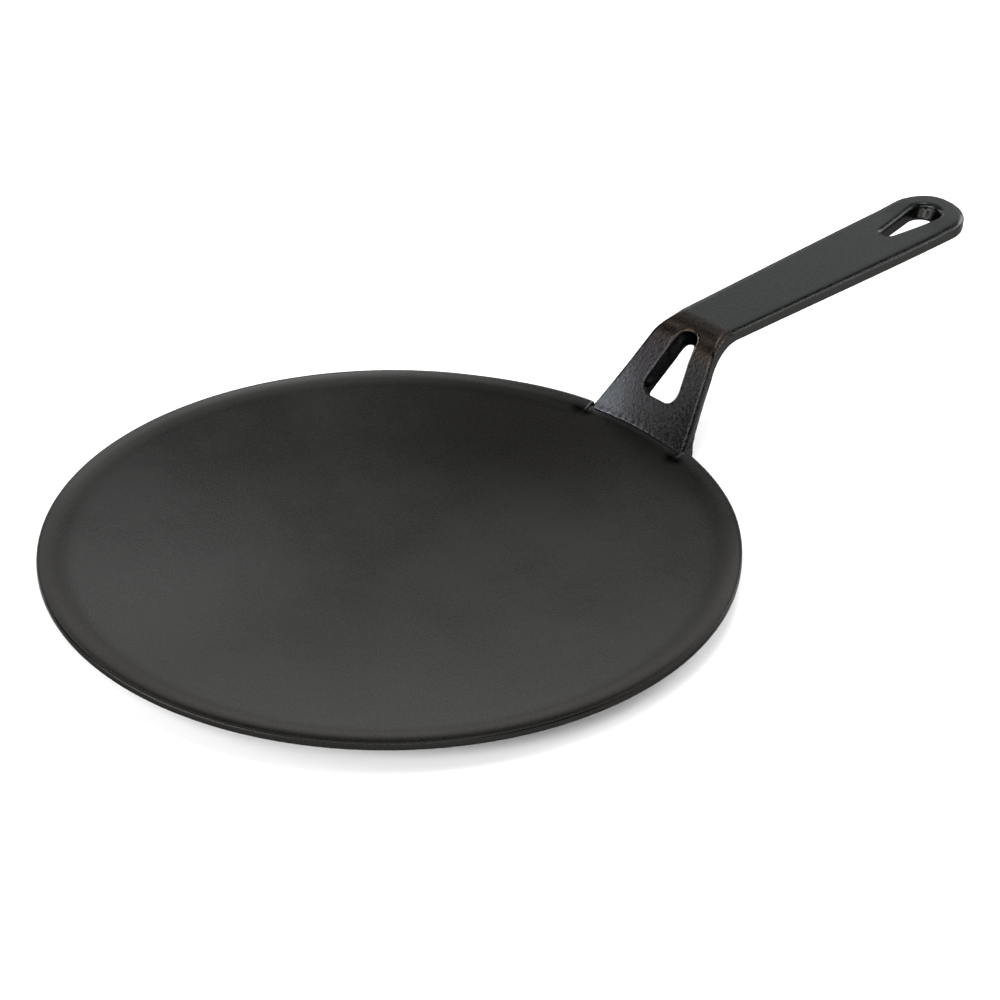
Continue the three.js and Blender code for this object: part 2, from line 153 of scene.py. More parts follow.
def swell(angle):
    """Share of the rim's swelling at an angle: whole beside the handle, and gone a little way round the plate."""
    away = np.abs((np.degrees(angle) - SWELL_MIDDLE + 180) % 360 - 180)
    return ease(np.clip((SWELL_END - away) / (SWELL_END - SWELL_START), 0, 1))


def plate_top(radius, angle):
    """Height of the top: the dish plus the lip, which rises with a power of the way from its start to its crest."""
    reach = np.clip((radius - LIP_START) / (CREST_RADIUS - LIP_START), 0, 1)
    rise = (RIM_HEIGHT + SWELL_RISE * swell(angle) - dish_height(CREST_RADIUS)) * reach**LIP_SHARPNESS
    share = lip_share(radius * np.sin(angle), radius * np.cos(angle))
    groove = GROOVE_DEPTH * np.exp(-(((radius - FOOT_RADIUS) / GROOVE_WIDTH) ** 2)) * (1 - share)
    return dish_height(np.minimum(radius, CREST_RADIUS)) + rise * share - groove


print("crest across from the handle", round(float(plate_top(CREST_RADIUS, math.pi)), 2), "mm high")

# %% Rings of the plate
BESIDE_HANDLE = math.radians(15)  # steps are closer together up to this angle on both sides of the handle
STEPS_BESIDE_HANDLE, STEPS_AROUND = 180, 600
UNDERSIDE_HUB, TOP_HUB = 14.0, 3.0  # innermost rings, which a fan of triangles closes
FLAT_RINGS, SLOPE_RINGS, UNDER_LIP_RINGS, WALL_RINGS, LIP_RINGS, DISH_RINGS = 4, 18, 8, 15, 20, 34
WALL_FLATNESS = 0.45  # power that flattens the rim's outside wall between its rounded edges
DISH_CROWDING = 1.35  # power that brings the dish's rings closer together near the lip


def plate_angles():
    """Directions round the plate, from 0 to a full turn: close together by the riser and wider elsewhere."""
    beside = np.linspace(-BESIDE_HANDLE, BESIDE_HANDLE, STEPS_BESIDE_HANDLE, endpoint=False)
    around = np.linspace(BESIDE_HANDLE, 2 * math.pi - BESIDE_HANDLE, STEPS_AROUND, endpoint=False)
    return np.concatenate([beside, around])


def plate_rings(angle):
    """Radius and height of each ring: out along the underside, round the rim, and back over the lip and the dish."""
    flat = np.linspace(UNDERSIDE_HUB, BASE_RADIUS, FLAT_RINGS)
    slope = np.linspace(BASE_RADIUS, LIP_START, SLOPE_RINGS)[1:]
    under_lip = np.linspace(LIP_START, CREST_RADIUS, UNDER_LIP_RINGS)[1:]
    under = np.concatenate([flat, slope, under_lip])[:, None]
    turn = np.linspace(0, math.pi, WALL_RINGS)[1:-1, None]
    wall = CREST_RADIUS + CREST_ROUND * np.sin(turn) ** WALL_FLATNESS
    crest = plate_top(CREST_RADIUS, angle)
    middle, half = (crest + RIM_BOTTOM) / 2, (crest - RIM_BOTTOM) / 2
    lip = np.linspace(CREST_RADIUS, LIP_START, LIP_RINGS)
    dish = LIP_START - (LIP_START - TOP_HUB) * np.linspace(0, 1, DISH_RINGS)[1:] ** DISH_CROWDING
    top = np.concatenate([lip, dish])[:, None]
    radius = np.concatenate([under, wall, top]) + 0 * angle
    height = [underside_height(under) + 0 * angle, middle - half * np.cos(turn), plate_top(top, angle)]
    near_rim = np.clip((radius - LIP_START) / LIP_WIDTH, 0, 1)
    return radius + SWELL_REACH * swell(angle) * near_rim**2, np.concatenate(height)


# %% Mesh of the plate
def plate_piece():
    """Rings of points joined by squares, and a fan of triangles over each of the two middles."""
    angle = plate_angles()[None, :]
    radius, height = plate_rings(angle)
    rings, steps = radius.shape
    skin = np.stack([radius * np.cos(angle), radius * np.sin(angle), height], -1).reshape(-1, 3)
    points = np.concatenate([skin, [[0, 0, 0], [0, 0, dish_height(0)]]])
    step, last = np.arange(steps), (rings - 1) * steps
    after = (step + 1) % steps
    low = np.stack([np.full(steps, len(skin)), after, step], -1)
    high = np.stack([np.full(steps, len(skin) + 1), last + step, last + after], -1)
    return make_piece("tawa_plate", points, squares(rings, steps, closed=True), np.concatenate([low, high]))


plate = plate_piece()

# %% [markdown]
# ## The handle's side view
#
# A bar that is bent can be worked out flat first and bent afterwards. Along the bar runs one length, measured on the
# front line from the foot, where the riser leaves the turned surface. The front line goes up the riser's face and out
# along the grip's top, and the back line goes up the riser's back and out along the underside. A table gives both
# points for each length, and what lies between is mixed from them, so the bend keeps the casting's thickness.

# %% Sizes of the handle
ROOT_THICKNESS, ROOT_BOTTOM, ROOT_REACH, HEEL_ROUND = 7.0, 4.8, 9.0, 4.0
ROOT_SHOULDER, ROOT_FILLET = 1.2, 7.0
RISER_ANGLE, RISER_LENGTH, RISER_THICKNESS = math.radians(53.8), 44.2, 5.3
BEND_OUTER, BEND_INNER = 18.0, 22.0
GRIP_PITCH, GRIP_LENGTH, GRIP_THICKNESS, GRIP_THICKENING = math.radians(2.1), 135.6, 5.8, 0.6

foot = np.array([FOOT_RADIUS, dish_height(FOOT_RADIUS)])
riser_up = np.array([math.cos(RISER_ANGLE), math.sin(RISER_ANGLE)])
riser_in = np.array([riser_up[1], -riser_up[0]])
grip_out = np.array([math.cos(GRIP_PITCH), math.sin(GRIP_PITCH)])
grip_down = np.array([grip_out[1], -grip_out[0]])
bend_turn = RISER_ANGLE - GRIP_PITCH
bend_corner = foot + RISER_LENGTH * riser_up
grip_end = bend_corner + GRIP_LENGTH * grip_out
print("foot, bend and grip end at [x, z]", *(p.round(1).tolist() for p in (foot, bend_corner, grip_end)))

# %% Lines and bends
def crossing(a, u, b, v):
    """Where the line from a along u meets the line from b along v."""
    share = np.linalg.solve(np.stack([u, -v], 1), b - a)
    return a + share[0] * u


def bend_points(corner, radius, share):
    """Points on the round bend at a corner: its start turned about its centre by a share of the whole turn."""
    start = corner - radius * math.tan(bend_turn / 2) * riser_up
    centre = start + radius * riser_in
    angle = -bend_turn * share[:, None]
    across = np.array([(start - centre)[1], -(start - centre)[0]])
    return centre + np.cos(angle) * (start - centre) - np.sin(angle) * across


def along(points, share):
    """Point at a share of the whole length of a line given by its points."""
    step = np.concatenate([[0], np.cumsum(np.hypot(*np.diff(points, axis=0).T))])
    return np.stack([np.interp(share * step[-1], step, points[:, k]) for k in (0, 1)], -1)


def rounded(a, b, c, count=24):
    """Points from a to c on the curve that b pulls towards it: a Bezier curve of three points."""
    t = np.linspace(0, 1, count)[:, None]
    return (1 - t) ** 2 * a + 2 * t * (1 - t) * b + t**2 * c


# %% Front and back lines
tangent = math.tan(bend_turn / 2)
riser_end = RISER_LENGTH - BEND_OUTER * tangent
bend_end = riser_end + BEND_OUTER * bend_turn
grip_line = bend_end + GRIP_LENGTH - BEND_OUTER * tangent
back_foot = foot + RISER_THICKNESS * riser_in
back_corner = crossing(back_foot, riser_up, bend_corner + GRIP_THICKNESS * grip_down, grip_out)
back_start = back_corner - BEND_INNER * tangent * riser_up
back_end = back_corner + BEND_INNER * tangent * grip_out
root_back = FOOT_RADIUS + ROOT_THICKNESS
heel_top = np.array([root_back, ROOT_BOTTOM + HEEL_ROUND])
root_top = np.array([root_back, RIM_HEIGHT + ROOT_SHOULDER])
root_corner = crossing(root_top, np.array([0.0, 1.0]), back_foot, riser_up)
riser_back = np.concatenate([rounded(root_top, root_corner, root_corner + ROOT_FILLET * riser_up), back_start[None]])
print("riser, bend and grip end at", round(riser_end, 1), round(bend_end, 1), round(grip_line, 1), "mm")

# %% Side view as a table
SIDE_STEPS = 200
TOE_SINK = 0.4  # the hidden toe starts this far inside the plate
PAST_GRIP = 30.0  # the table goes on past the grip's end, for the round tip
TIP_RISE, TIP_BEFORE, TIP_LENGTH = 0.6, 12.0, 18.0  # the top rises a little over this length around the grip's end


def toe_and_heel():
    """Hidden end of the root: its front line under the plate's skin, and its back line down to the root's heel."""
    radius = FOOT_RADIUS - ROOT_REACH + ROOT_REACH * np.linspace(0, 1, SIDE_STEPS)
    front = np.stack([radius, underside_height(radius) + TOE_SINK], -1)
    start = np.array([radius[0] - 1, underside_height(radius[0] - 1) + TOE_SINK / 2])
    heel_start = np.array([root_back - HEEL_ROUND, ROOT_BOTTOM])
    rise = rounded(start, np.array([radius[0] + 3, ROOT_BOTTOM]), heel_start)
    return front, np.concatenate([rise, rounded(heel_start, np.array([root_back, ROOT_BOTTOM]), heel_top)[1:]])


def grip_lines(t):
    """The grip's top, which rises a little at the tip, and its underside, for shares t of the way out."""
    far = grip_end + PAST_GRIP * grip_out
    start = bend_corner + BEND_OUTER * tangent * grip_out
    front = start + t[:, None] * (far - start)
    late = np.clip((bend_end + (grip_line + PAST_GRIP - bend_end) * t - grip_line + TIP_BEFORE) / TIP_LENGTH, 0, 1)
    front[:, 1] += TIP_RISE * ease(late)
    return front, back_end + t[:, None] * (far + (GRIP_THICKNESS + GRIP_THICKENING) * grip_down - back_end)


def side_table():
    """Rows of [length, front x, front z, back x, back z], stretch by stretch: toe, root, riser, bend and grip."""
    t = np.linspace(0, 1, SIDE_STEPS)
    toe_front, toe_back = toe_and_heel()
    root = float(np.hypot(*(foot - toe_front[-1])))
    root_front = toe_front[-1] + t[:, None] * (foot - toe_front[-1])
    stretches = [
        (-root - ROOT_REACH, -root, toe_front, along(toe_back, t)),
        (-root, 0.0, root_front, heel_top + t[:, None] * (root_top - heel_top)),
        (0.0, riser_end, foot + (t * riser_end)[:, None] * riser_up, along(riser_back, t)),
        (riser_end, bend_end, bend_points(bend_corner, BEND_OUTER, t), bend_points(back_corner, BEND_INNER, t)),
        (bend_end, grip_line + PAST_GRIP, *grip_lines(t)),
    ]
    table = np.concatenate([np.column_stack([a + (b - a) * t, front, back]) for a, b, front, back in stretches])
    return table[np.concatenate([[True], np.diff(table[:, 0]) > 1e-9])]


SIDE = side_table()
TOE_END = SIDE[0, 0]
print("side view:", len(SIDE), "rows from", round(float(TOE_END), 1), "mm")

# %% [markdown]
# ## Bending the flat bar
#
# The handle narrows up the riser, turns quickly into the neck and widens along the grip. It could be a Curve with a
# bevel, but a real handle has its own width, thickness and bow at each place. So the width is one function of the
# length, and another function takes a point of the flat bar to its place in the bent one. Every sheet goes through
# that same function, so sheets that share a line meet exactly.

# %% Width, place and thickness
RISER_TAPER, NECK_START, NECK_WIDTH, GRIP_END_WIDTH = 0.232, 50.0, 28.2, 33.5
WIDTH_STEP, BLUR_REACH, BLUR_WIDTH = 0.1, 80, 40.0  # millimetres, then steps: the width is blurred over this many
BLUR_FROM_ENDS, BLUR_FADE = 8.0, 10.0  # the blur fades out near the foot and near the grip's end
FAR_CORNER, FAR_WAY, FAR_SPREAD = 1.2, 60.0, 27.0  # the tip is this much fuller, about this direction, in degrees


def half_width(s):
    """Half of the width: straight sides up the riser, a quick turn into the neck, and an easy swell along the grip.
    The wider of riser and grip counts, and a bell-shaped average rounds the corner between them."""
    fine = np.arange(TOE_END - 5, grip_line + 10, WIDTH_STEP)
    riser = FOOT_WIDTH / 2 - RISER_TAPER * np.clip(fine, 0, None)
    t = np.clip((fine - NECK_START) / (grip_line - NECK_START), 0, 1)
    grip = (NECK_WIDTH + (GRIP_END_WIDTH - NECK_WIDTH) * (ease(t) + t * (2 - t)) / 2) / 2
    width = np.maximum(riser, grip)
    kernel = np.exp(-((np.arange(-BLUR_REACH, BLUR_REACH + 1) / BLUR_WIDTH) ** 2))
    smooth = np.convolve(np.pad(width, BLUR_REACH, mode="edge"), kernel / kernel.sum(), mode="valid")
    from_foot, to_tip = fine - BLUR_FROM_ENDS, grip_line - BLUR_FROM_ENDS - fine
    keep = np.clip(from_foot / BLUR_FADE, 0, 1) * np.clip(to_tip / BLUR_FADE, 0, 1)
    return np.interp(s, fine, width + keep * (smooth - width))


def place(s, y, depth):
    """Bent bar: a point at length s, this far across and this deep below the front line, in millimetres.
    Depth runs along the line from the front point to the back point. The foot bows round the plate, and the round
    tip is a little fuller at its far corner, as on the real casting."""
    ahead = s - grip_line
    way = (np.degrees(np.arctan2(ahead, y)) + 90) % 360 - 90
    fuller = FAR_CORNER * np.exp(-(((way - FAR_WAY) / FAR_SPREAD) ** 2))
    stretch = 1 + fuller * np.hypot(ahead, y) / (GRIP_END_WIDTH / 2) ** 2 * (ahead > 0)
    s, y = grip_line + ahead * stretch, y * stretch
    front = np.stack([np.interp(s, SIDE[:, 0], SIDE[:, k]) for k in (1, 2)], -1)
    back = np.stack([np.interp(s, SIDE[:, 0], SIDE[:, k]) for k in (3, 4)], -1)
    through = back - front
    side = front + through / np.linalg.norm(through, axis=-1, keepdims=True) * depth[..., None]
    fade = np.clip(1 - s / riser_end, 0, 1)
    bow = FOOT_RADIUS - np.sqrt(FOOT_RADIUS**2 - y**2)
    return np.stack([side[..., 0] - fade * bow, y, side[..., 1]], -1)


def thickness(s):
    """Distance from the front point to the back point at length s."""
    return np.hypot(*[np.interp(s, SIDE[:, 0], SIDE[:, k + 2] - SIDE[:, k]) for k in (1, 2)])


for at, s in (("foot", 0.0), ("neck", NECK_START), ("grip's end", grip_line)):
    print(at, round(2 * float(half_width(s)), 1), "mm wide and", round(float(thickness(s)), 1), "mm thick")

# %% [markdown]
# ## The handle's plan
#
# Laid flat, the handle is a long tongue with two holes: a window with three round corners, and a teardrop that the
# tawa hangs by. Cutting holes with a Boolean would leave long thin faces that shade badly. Instead the plan is
# quilted. Plain strips of squares lie between the holes, and round each hole lies a ring of squares whose inner edge
# is the hole's own outline and whose outer edge meets the strips.

# %% Outlines in the plan
def tongue_outline(p):
    """One side of the tongue at a length p round its edge: the point on it and the outward direction.
    Past the grip's end the edge is a quarter circle as wide as the grip."""
    radius = GRIP_END_WIDTH / 2
    turn = np.clip((p - grip_line) / radius, 0, math.pi / 2)
    s = np.minimum(p, grip_line)
    slope = (half_width(s + WIDTH_STEP / 2) - half_width(s - WIDTH_STEP / 2)) / WIDTH_STEP
    straight = np.stack([-slope, np.ones_like(s)], -1) / np.hypot(slope, 1)[..., None]
    round_way = np.stack([np.sin(turn), np.cos(turn)], -1)
    line = np.stack([s, half_width(s)], -1)
    circle = np.stack([np.full_like(p, grip_line), np.zeros_like(p)], -1) + radius * round_way
    past = (p > grip_line)[..., None]
    return np.where(past, circle, line), np.where(past, round_way, straight)


def circles_outline(circles, count=4000):
    """Outline of the tightest loop round some circles, each [s, y, radius], and the way out of the iron.
    At each direction it takes the circle that reaches furthest that way, so straight parts join the circles."""
    way_angle = np.linspace(0, 2 * math.pi, count, endpoint=False)
    way = np.stack([np.cos(way_angle), np.sin(way_angle)], -1)
    reach = way @ circles[:, :2].T + circles[:, 2]
    best = reach.argmax(1)
    points = circles[best, :2] + circles[best, 2:] * way
    gaps = np.linalg.norm(np.roll(points, -1, 0) - points, axis=1)
    steps = np.concatenate([[0], np.cumsum(gaps)])
    even = np.linspace(0, steps[-1], count, endpoint=False)
    closed, ways = np.concatenate([points, points[:1]]), np.concatenate([way, way[:1]])
    line = np.stack([np.interp(even, steps, closed[:, k]) for k in (0, 1)], -1)
    out = np.stack([np.interp(even, steps, ways[:, k]) for k in (0, 1)], -1)
    return line, -out / np.linalg.norm(out, axis=1, keepdims=True)


def hole_at(circles, middle, angle):
    """Point on a hole's outline and the way out of the iron, in each direction seen from a middle inside it."""
    line, out = circles_outline(circles)
    seen = np.arctan2(line[:, 1], line[:, 0] - middle) % (2 * math.pi)
    order = np.argsort(seen)
    values = np.column_stack([line, out])[order]
    found = [np.interp(angle % (2 * math.pi), seen[order], values[:, k], period=2 * math.pi) for k in range(4)]
    found = np.stack(found, -1)
    return found[..., :2], found[..., 2:] / np.linalg.norm(found[..., 2:], axis=-1, keepdims=True)


# %% Window and hang hole
# Each row is one round corner: its centre's length and place across, and its radius. Both holes are smaller at the
# back than on the face, and moved, so their walls lean as the mould needs.
WINDOW_FACE = np.array([[18.4, 3.4, 5.2], [18.4, -4.0, 5.2], [38.2, -0.3, 5.0]])
WINDOW_BACK = np.array([[13.0, 2.83, 4.0], [13.0, -2.83, 4.0], [39.3, 0, 2.4]])
HOLE_FACE = np.array([[grip_line + 1.0, 0.7, 6.6], [grip_line - 21.5, 0.15, 2.75]])
HOLE_BACK = np.array([[grip_line - 1.2, 0.8, 5.8], [grip_line - 22.0, 0.2, 2.6]])
WINDOW_MIDDLE, HOLE_MIDDLE = 27.6, grip_line - 3.0
for name, circles in (("window", WINDOW_FACE), ("hang hole", HOLE_FACE)):
    print(name, "on the face", np.ptp(circles_outline(circles)[0], 0).round(1).tolist(), "mm along and across")

# %% Rows of the quilt
ACROSS, RING_DEPTH = 80, 13  # squares across the tongue, and points from a hole's outline to the tongue's edge
WINDOW_FROM, WINDOW_TO, HOLE_FROM = 9.0, 47.5, grip_line - 31.0  # the two rings take up these lengths
TIP = grip_line + GRIP_END_WIDTH / 4 * math.pi
ROOT_STRETCHES = (TOE_END, -0.5, 12), (-0.2, 3.0, 15), (3.6, WINDOW_FROM, 10)  # from, to, rows: close at the bead
STRIP_ROOT = np.concatenate([np.linspace(*stretch) for stretch in ROOT_STRETCHES])
RING_WINDOW = np.linspace(WINDOW_FROM, WINDOW_TO, 56)
STRIP_GRIP = np.linspace(WINDOW_TO, HOLE_FROM, 122)
RING_HOLE = np.linspace(HOLE_FROM, TIP, 66)
EDGE_LENGTHS = np.concatenate([STRIP_ROOT, RING_WINDOW[1:], STRIP_GRIP[1:], RING_HOLE[1:]])
MIRROR = np.array([1, -1])  # turns one side of the tongue into the other
print("quilt:", len(EDGE_LENGTHS), "rows along each side")

# %% Strips and rings
def inset_side(p, inset):
    """Edge of the flat faces: the outline moved into the iron."""
    point, out = tongue_outline(p)
    return point - inset[:, None] * out


def strip(rows, inset):
    """Squares between two sides of the tongue: each row runs straight across."""
    edge = inset_side(rows, inset)
    share = np.linspace(-1, 1, ACROSS + 1)
    return np.stack([edge[:, :1] + 0 * share, edge[:, 1:] * share], -1)


def ring_border(rows, inset, has_far_side):
    """Outer edge of a ring: across the near end, up one side, across the far end and down the other side.
    A far end that isn't there means that the two long sides meet at the tongue's round end."""
    share = np.linspace(-1, 1, ACROSS + 1)
    edge = inset_side(rows, inset)
    near = np.stack([np.full(ACROSS + 1, edge[0, 0]), edge[0, 1] * share], -1)[:-1]
    far = np.stack([np.full(ACROSS + 1, edge[-1, 0]), -edge[-1, 1] * share], -1)[:-1]
    back = (edge * MIRROR)[::-1][:-1]
    return np.concatenate([near, edge[:-1], far, back] if has_far_side else [near, edge[:-1], back])


def ring(rows, inset, circles, middle, hole_round, has_far_side):
    """Squares round a hole, on straight lines from its outline to the ring's outer edge."""
    nominal = ring_border(rows, 0 * rows, has_far_side)
    angle = np.arctan2(nominal[:, 1], nominal[:, 0] - middle)
    line, out = hole_at(circles, middle, angle)
    inner, outer = line - hole_round(angle)[:, None] * out, ring_border(rows, inset, has_far_side)
    sheet = inner + np.linspace(0, 1, RING_DEPTH)[:, None, None] * (outer - inner)
    return np.concatenate([sheet, sheet[:, :1]], 1), line, out, angle


# %% [markdown]
# ## Edges and walls
#
# The mould rounds every edge of a casting, and use softens them more. A Bevel modifier would give all edges the same
# round, but the riser's edge is tight, the grip's is broad, and a long soft lip lies over the window's top. So each
# edge between the two faces is a strip of its own. It turns from the face into the wall along an elliptical round,
# which can run further down the wall than in over the face. The wall leans in towards the back, as a mould needs it
# to, and a quarter round ends it. The lumpy bead that the cutter left along the foot is a small form of the face.

# %% Rounding of the edges
RISER_EDGE, GRIP_EDGE, BACK_EDGES = 0.9, 3.3, (0.9, 2.0)  # on the face, and at the back of the riser and the grip
FACE_LIMIT, BACK_LIMIT = 1.7, 3  # no rounding is larger than the thickness divided by this
WINDOW_SIDES, WINDOW_CROWN, HOLE_EDGE, HOLE_BACK_EDGE = 0.5, 1.1, 2.2, 0.9
CROWN_START, CROWN_SPAN = 0.55, 0.35  # cosines of the direction from the window's middle
DRAFT_AT, DRAFT = [-4, 1, 6, 15, 24, 34, 40], [-0.2, 0.2, 1.1, 1.1, 0.8, 0.2, 0.3]
DROP_AT, DROP = [-4, 2, riser_end, bend_end, grip_line], [1.0, 2.6, 2.4, 0.62, 0.62]


def edge_round(p):
    """Rounding of the outer edge: tight on the riser and easy on the grip, and less where the toe gets thin."""
    wanted = RISER_EDGE + (GRIP_EDGE - RISER_EDGE) * ease(np.clip((p - riser_end) / (bend_end - riser_end), 0, 1))
    return np.minimum(wanted, thickness(np.minimum(p, grip_line)) / FACE_LIMIT)


def back_edge(p):
    """Rounding of the outer edge at the back: at most a third of the thickness."""
    wanted = np.interp(p, [riser_end, bend_end], BACK_EDGES)
    return np.minimum(wanted, thickness(np.minimum(p, grip_line)) / BACK_LIMIT)


def side_draft(p):
    """How far the outer wall leans in towards the back: most near the foot, and hardly at all on the grip."""
    return np.interp(p, DRAFT_AT, DRAFT)


def edge_drop(p):
    """How far the outer edge's rounding runs down the wall, for each millimetre that it runs in over the face."""
    return np.interp(p, DROP_AT, DROP)


def window_face_round(angle):
    """Rounding of the window's edge on the face: tight down the sides and a broad soft lip over the top."""
    return WINDOW_SIDES + WINDOW_CROWN * ease(np.clip((np.cos(angle) - CROWN_START) / CROWN_SPAN, 0, 1))


def hole_face_round(angle):
    """Rounding of the hang hole's edge on the grip's top: the same all round."""
    return HOLE_EDGE + 0 * angle


def hole_back_round(angle):
    """Rounding of both holes' edges at the back."""
    return HOLE_BACK_EDGE + 0 * angle


# %% Bead along the foot
BEAD_HEIGHT, BEAD_WIDTH, BEAD_PLACE = 0.45, 0.9, 0.7
BEAD_MIDDLE, BEAD_LUMPS = 0.5, ((0.28, 1.9, 0.6), (0.22, 3.7, 2.0), (0.18, 0.71, 0.0))  # share, radians per mm, start
BEAD_WAVER, WAVER_RATE, LEAST_LUMP = 0.25, 0.9, 0.1
RIGHT_SHARE, RIGHT_END, RIGHT_SPAN = 0.35, 8, 20  # of its height, on the right, and where it has grown to the whole
BEAD_END, BEAD_FADE = 23.5, 2.0  # gone this far from the middle, so that it stays clear of the side walls


def bead(s, y):
    """Height of the lumpy seam along the foot, where the cutter ran up against the rough riser: waves across,
    times a bell shape along the handle, lower on the right."""
    lumps = sum((share * np.sin(rate * y + start) for share, rate, start in BEAD_LUMPS), BEAD_MIDDLE)
    grown = RIGHT_SHARE + (1 - RIGHT_SHARE) * np.clip((y + RIGHT_END) / RIGHT_SPAN, 0, 1)
    left = grown * np.clip((BEAD_END - np.abs(y)) / BEAD_FADE, 0, 1)
    off_line = s - BEAD_PLACE - BEAD_WAVER * np.sin(WAVER_RATE * y)
    return BEAD_HEIGHT * left * np.clip(lumps, LEAST_LUMP, None) * np.exp(-((off_line / BEAD_WIDTH) ** 2))


# %% Strips between the faces
ROUND_POINTS, WALL_POINTS = 7, 6
MOST_FALL = 0.6  # share of the thickness that the face's rounding takes up at most
OPENING_RISE, OPENING_FALL = 9, 6  # steepness of the opening note behind the face and in front of the back


def edge_strip(face_line, face_out, back_line, back_out, face_round, back_round, drop=1.0):
    """Wall between the faces: an elliptical round, a leaning wall and a quarter round, for each point of an outline.
    Each row lies a little in from the outline, and counts its depth from the front or from the back. Drop is the
    first round's run down the wall for each millimetre in. Gives the points, and each point's share of the depth."""
    turn = np.linspace(0, math.pi / 2, ROUND_POINTS)[:, None]
    wall = np.linspace(0, 1, WALL_POINTS)[1:-1, None]
    front_plan = face_line - (face_round * (1 - np.sin(turn)))[..., None] * face_out
    wall_plan = face_line + wall[..., None] * (back_line - face_line)
    back_plan = back_line - (back_round * (1 - np.cos(turn)))[..., None] * back_out
    plan = np.concatenate([front_plan, wall_plan, back_plan])
    deep = thickness(plan[..., 0])
    deep_front, deep_wall, deep_back = np.split(deep, [ROUND_POINTS, ROUND_POINTS + len(wall)])
    fall = np.minimum(face_round * drop, deep_front * MOST_FALL)
    high, low = fall[:1] + 0 * deep_wall, deep_wall - back_round
    front_depth, back_depth = fall * (1 - np.cos(turn)), deep_back - back_round * (1 - np.sin(turn))
    depth = np.concatenate([front_depth, high + wall * (low - high), back_depth])
    return place(plan[..., 0], plan[..., 1], depth), depth / deep


def outer_wall():
    """Wall round the tongue's whole edge, up one side and down the other, with its notes."""
    point, out = tongue_outline(EDGE_LENGTHS)
    back_point = point - side_draft(EDGE_LENGTHS)[:, None] * out
    point, back_point, out = (np.concatenate([v, (v * MIRROR)[::-1][1:]]) for v in (point, back_point, out))
    both = np.concatenate([EDGE_LENGTHS, EDGE_LENGTHS[::-1][1:]])
    sheet, wall = edge_strip(point, out, back_point, out, edge_round(both), back_edge(both), edge_drop(both))
    return sheet, wall, np.zeros(wall.shape)


def hole_wall(face, back, face_round):
    """Wall of a hole from its outline on the face to the one at the back, with its notes."""
    line, out, angle, far_line, far_out = (np.concatenate([v, v[:1]]) for v in (*face, *back[:2]))
    sheet, wall = edge_strip(line, out, far_line, far_out, face_round(angle), hole_back_round(angle))
    return sheet, wall, np.clip(wall * OPENING_RISE, 0, 1) * np.clip((1 - wall) * OPENING_FALL, 0, 1)


# %% [markdown]
# ## From the plan to the casting
#
# The quilt is laid twice, once on the front and once on the back, and the strips close the edges between them. All
# sheets are bent by the same function, so welding their shared points closes the skin. Solidify would give a flat bar
# its thickness too, but with one thickness and straight walls. Each point also keeps two notes for the material: its
# share of the depth, called wall, and opening, which is 1 inside the two holes.

# %% Sheets of the handle
def quilt(on_back):
    """Plans of one face's four sheets, from the toe to the tip, and the edges of the window and the hang hole."""
    inset = back_edge(EDGE_LENGTHS) + side_draft(EDGE_LENGTHS) if on_back else edge_round(EDGE_LENGTHS)
    cut = np.cumsum([len(STRIP_ROOT), len(RING_WINDOW) - 1, len(STRIP_GRIP) - 1])
    parts = [inset[: cut[0]], inset[cut[0] - 1 : cut[1]], inset[cut[1] - 1 : cut[2]], inset[cut[2] - 1 :]]
    window_circles, hole_circles = (WINDOW_BACK, HOLE_BACK) if on_back else (WINDOW_FACE, HOLE_FACE)
    rounds = (hole_back_round, hole_back_round) if on_back else (window_face_round, hole_face_round)
    window, *window_edge = ring(RING_WINDOW, parts[1], window_circles, WINDOW_MIDDLE, rounds[0], True)
    hole, *hole_edge = ring(RING_HOLE, parts[3], hole_circles, HOLE_MIDDLE, rounds[1], False)
    return (strip(STRIP_ROOT, parts[0]), window, strip(STRIP_GRIP, parts[2]), hole), window_edge, hole_edge


def handle_sheets():
    """All sheets with their two notes: four of the front, four of the back, the outer wall and the holes' walls."""
    sheets, edges = [], []
    for on_back in (False, True):
        plans, *hole_edges = quilt(on_back)
        edges.append(hole_edges)
        for plan in plans:
            s, y = plan[..., 0], plan[..., 1]
            depth = thickness(s) if on_back else -bead(s, y)
            sheets.append((place(s, y, depth), np.full(s.shape, float(on_back)), np.zeros(s.shape)))
    sheets.append(outer_wall())
    for face, back, face_round in zip(*edges, (window_face_round, hole_face_round)):
        sheets.append(hole_wall(face, back, face_round))
    return sheets


# %% Mesh of the handle
def handle_piece():
    """All sheets in one mesh, and a fan of triangles over the toe's end, which is hidden under the plate."""
    sheets, walls, openings = zip(*handle_sheets())
    points, quads, start = [], [], 0
    for sheet in sheets:
        quads.append(squares(*sheet.shape[:2], start))
        points.append(sheet.reshape(-1, 3))
        start += len(points[-1])
    front, back, outer = sheets[0][0], sheets[4][0], sheets[8]
    toe_rim = np.concatenate([front, outer[1:, 0], back[::-1][1:], outer[::-1][1:-1, -1]])
    points.append(np.concatenate([toe_rim, toe_rim.mean(0, keepdims=True)]))
    step = start + np.arange(len(toe_rim))
    toe_end = np.stack([step, np.roll(step, -1), np.full(len(toe_rim), start + len(toe_rim))], -1)
    spare = np.zeros(len(toe_rim) + 1)
    notes = {}
    for note, values in (("wall", walls), ("opening", openings)):
        notes[note] = np.concatenate([*(v.ravel() for v in values), spare])
    return make_piece("tawa_handle", np.concatenate(points), np.concatenate(quads), toe_end, notes)


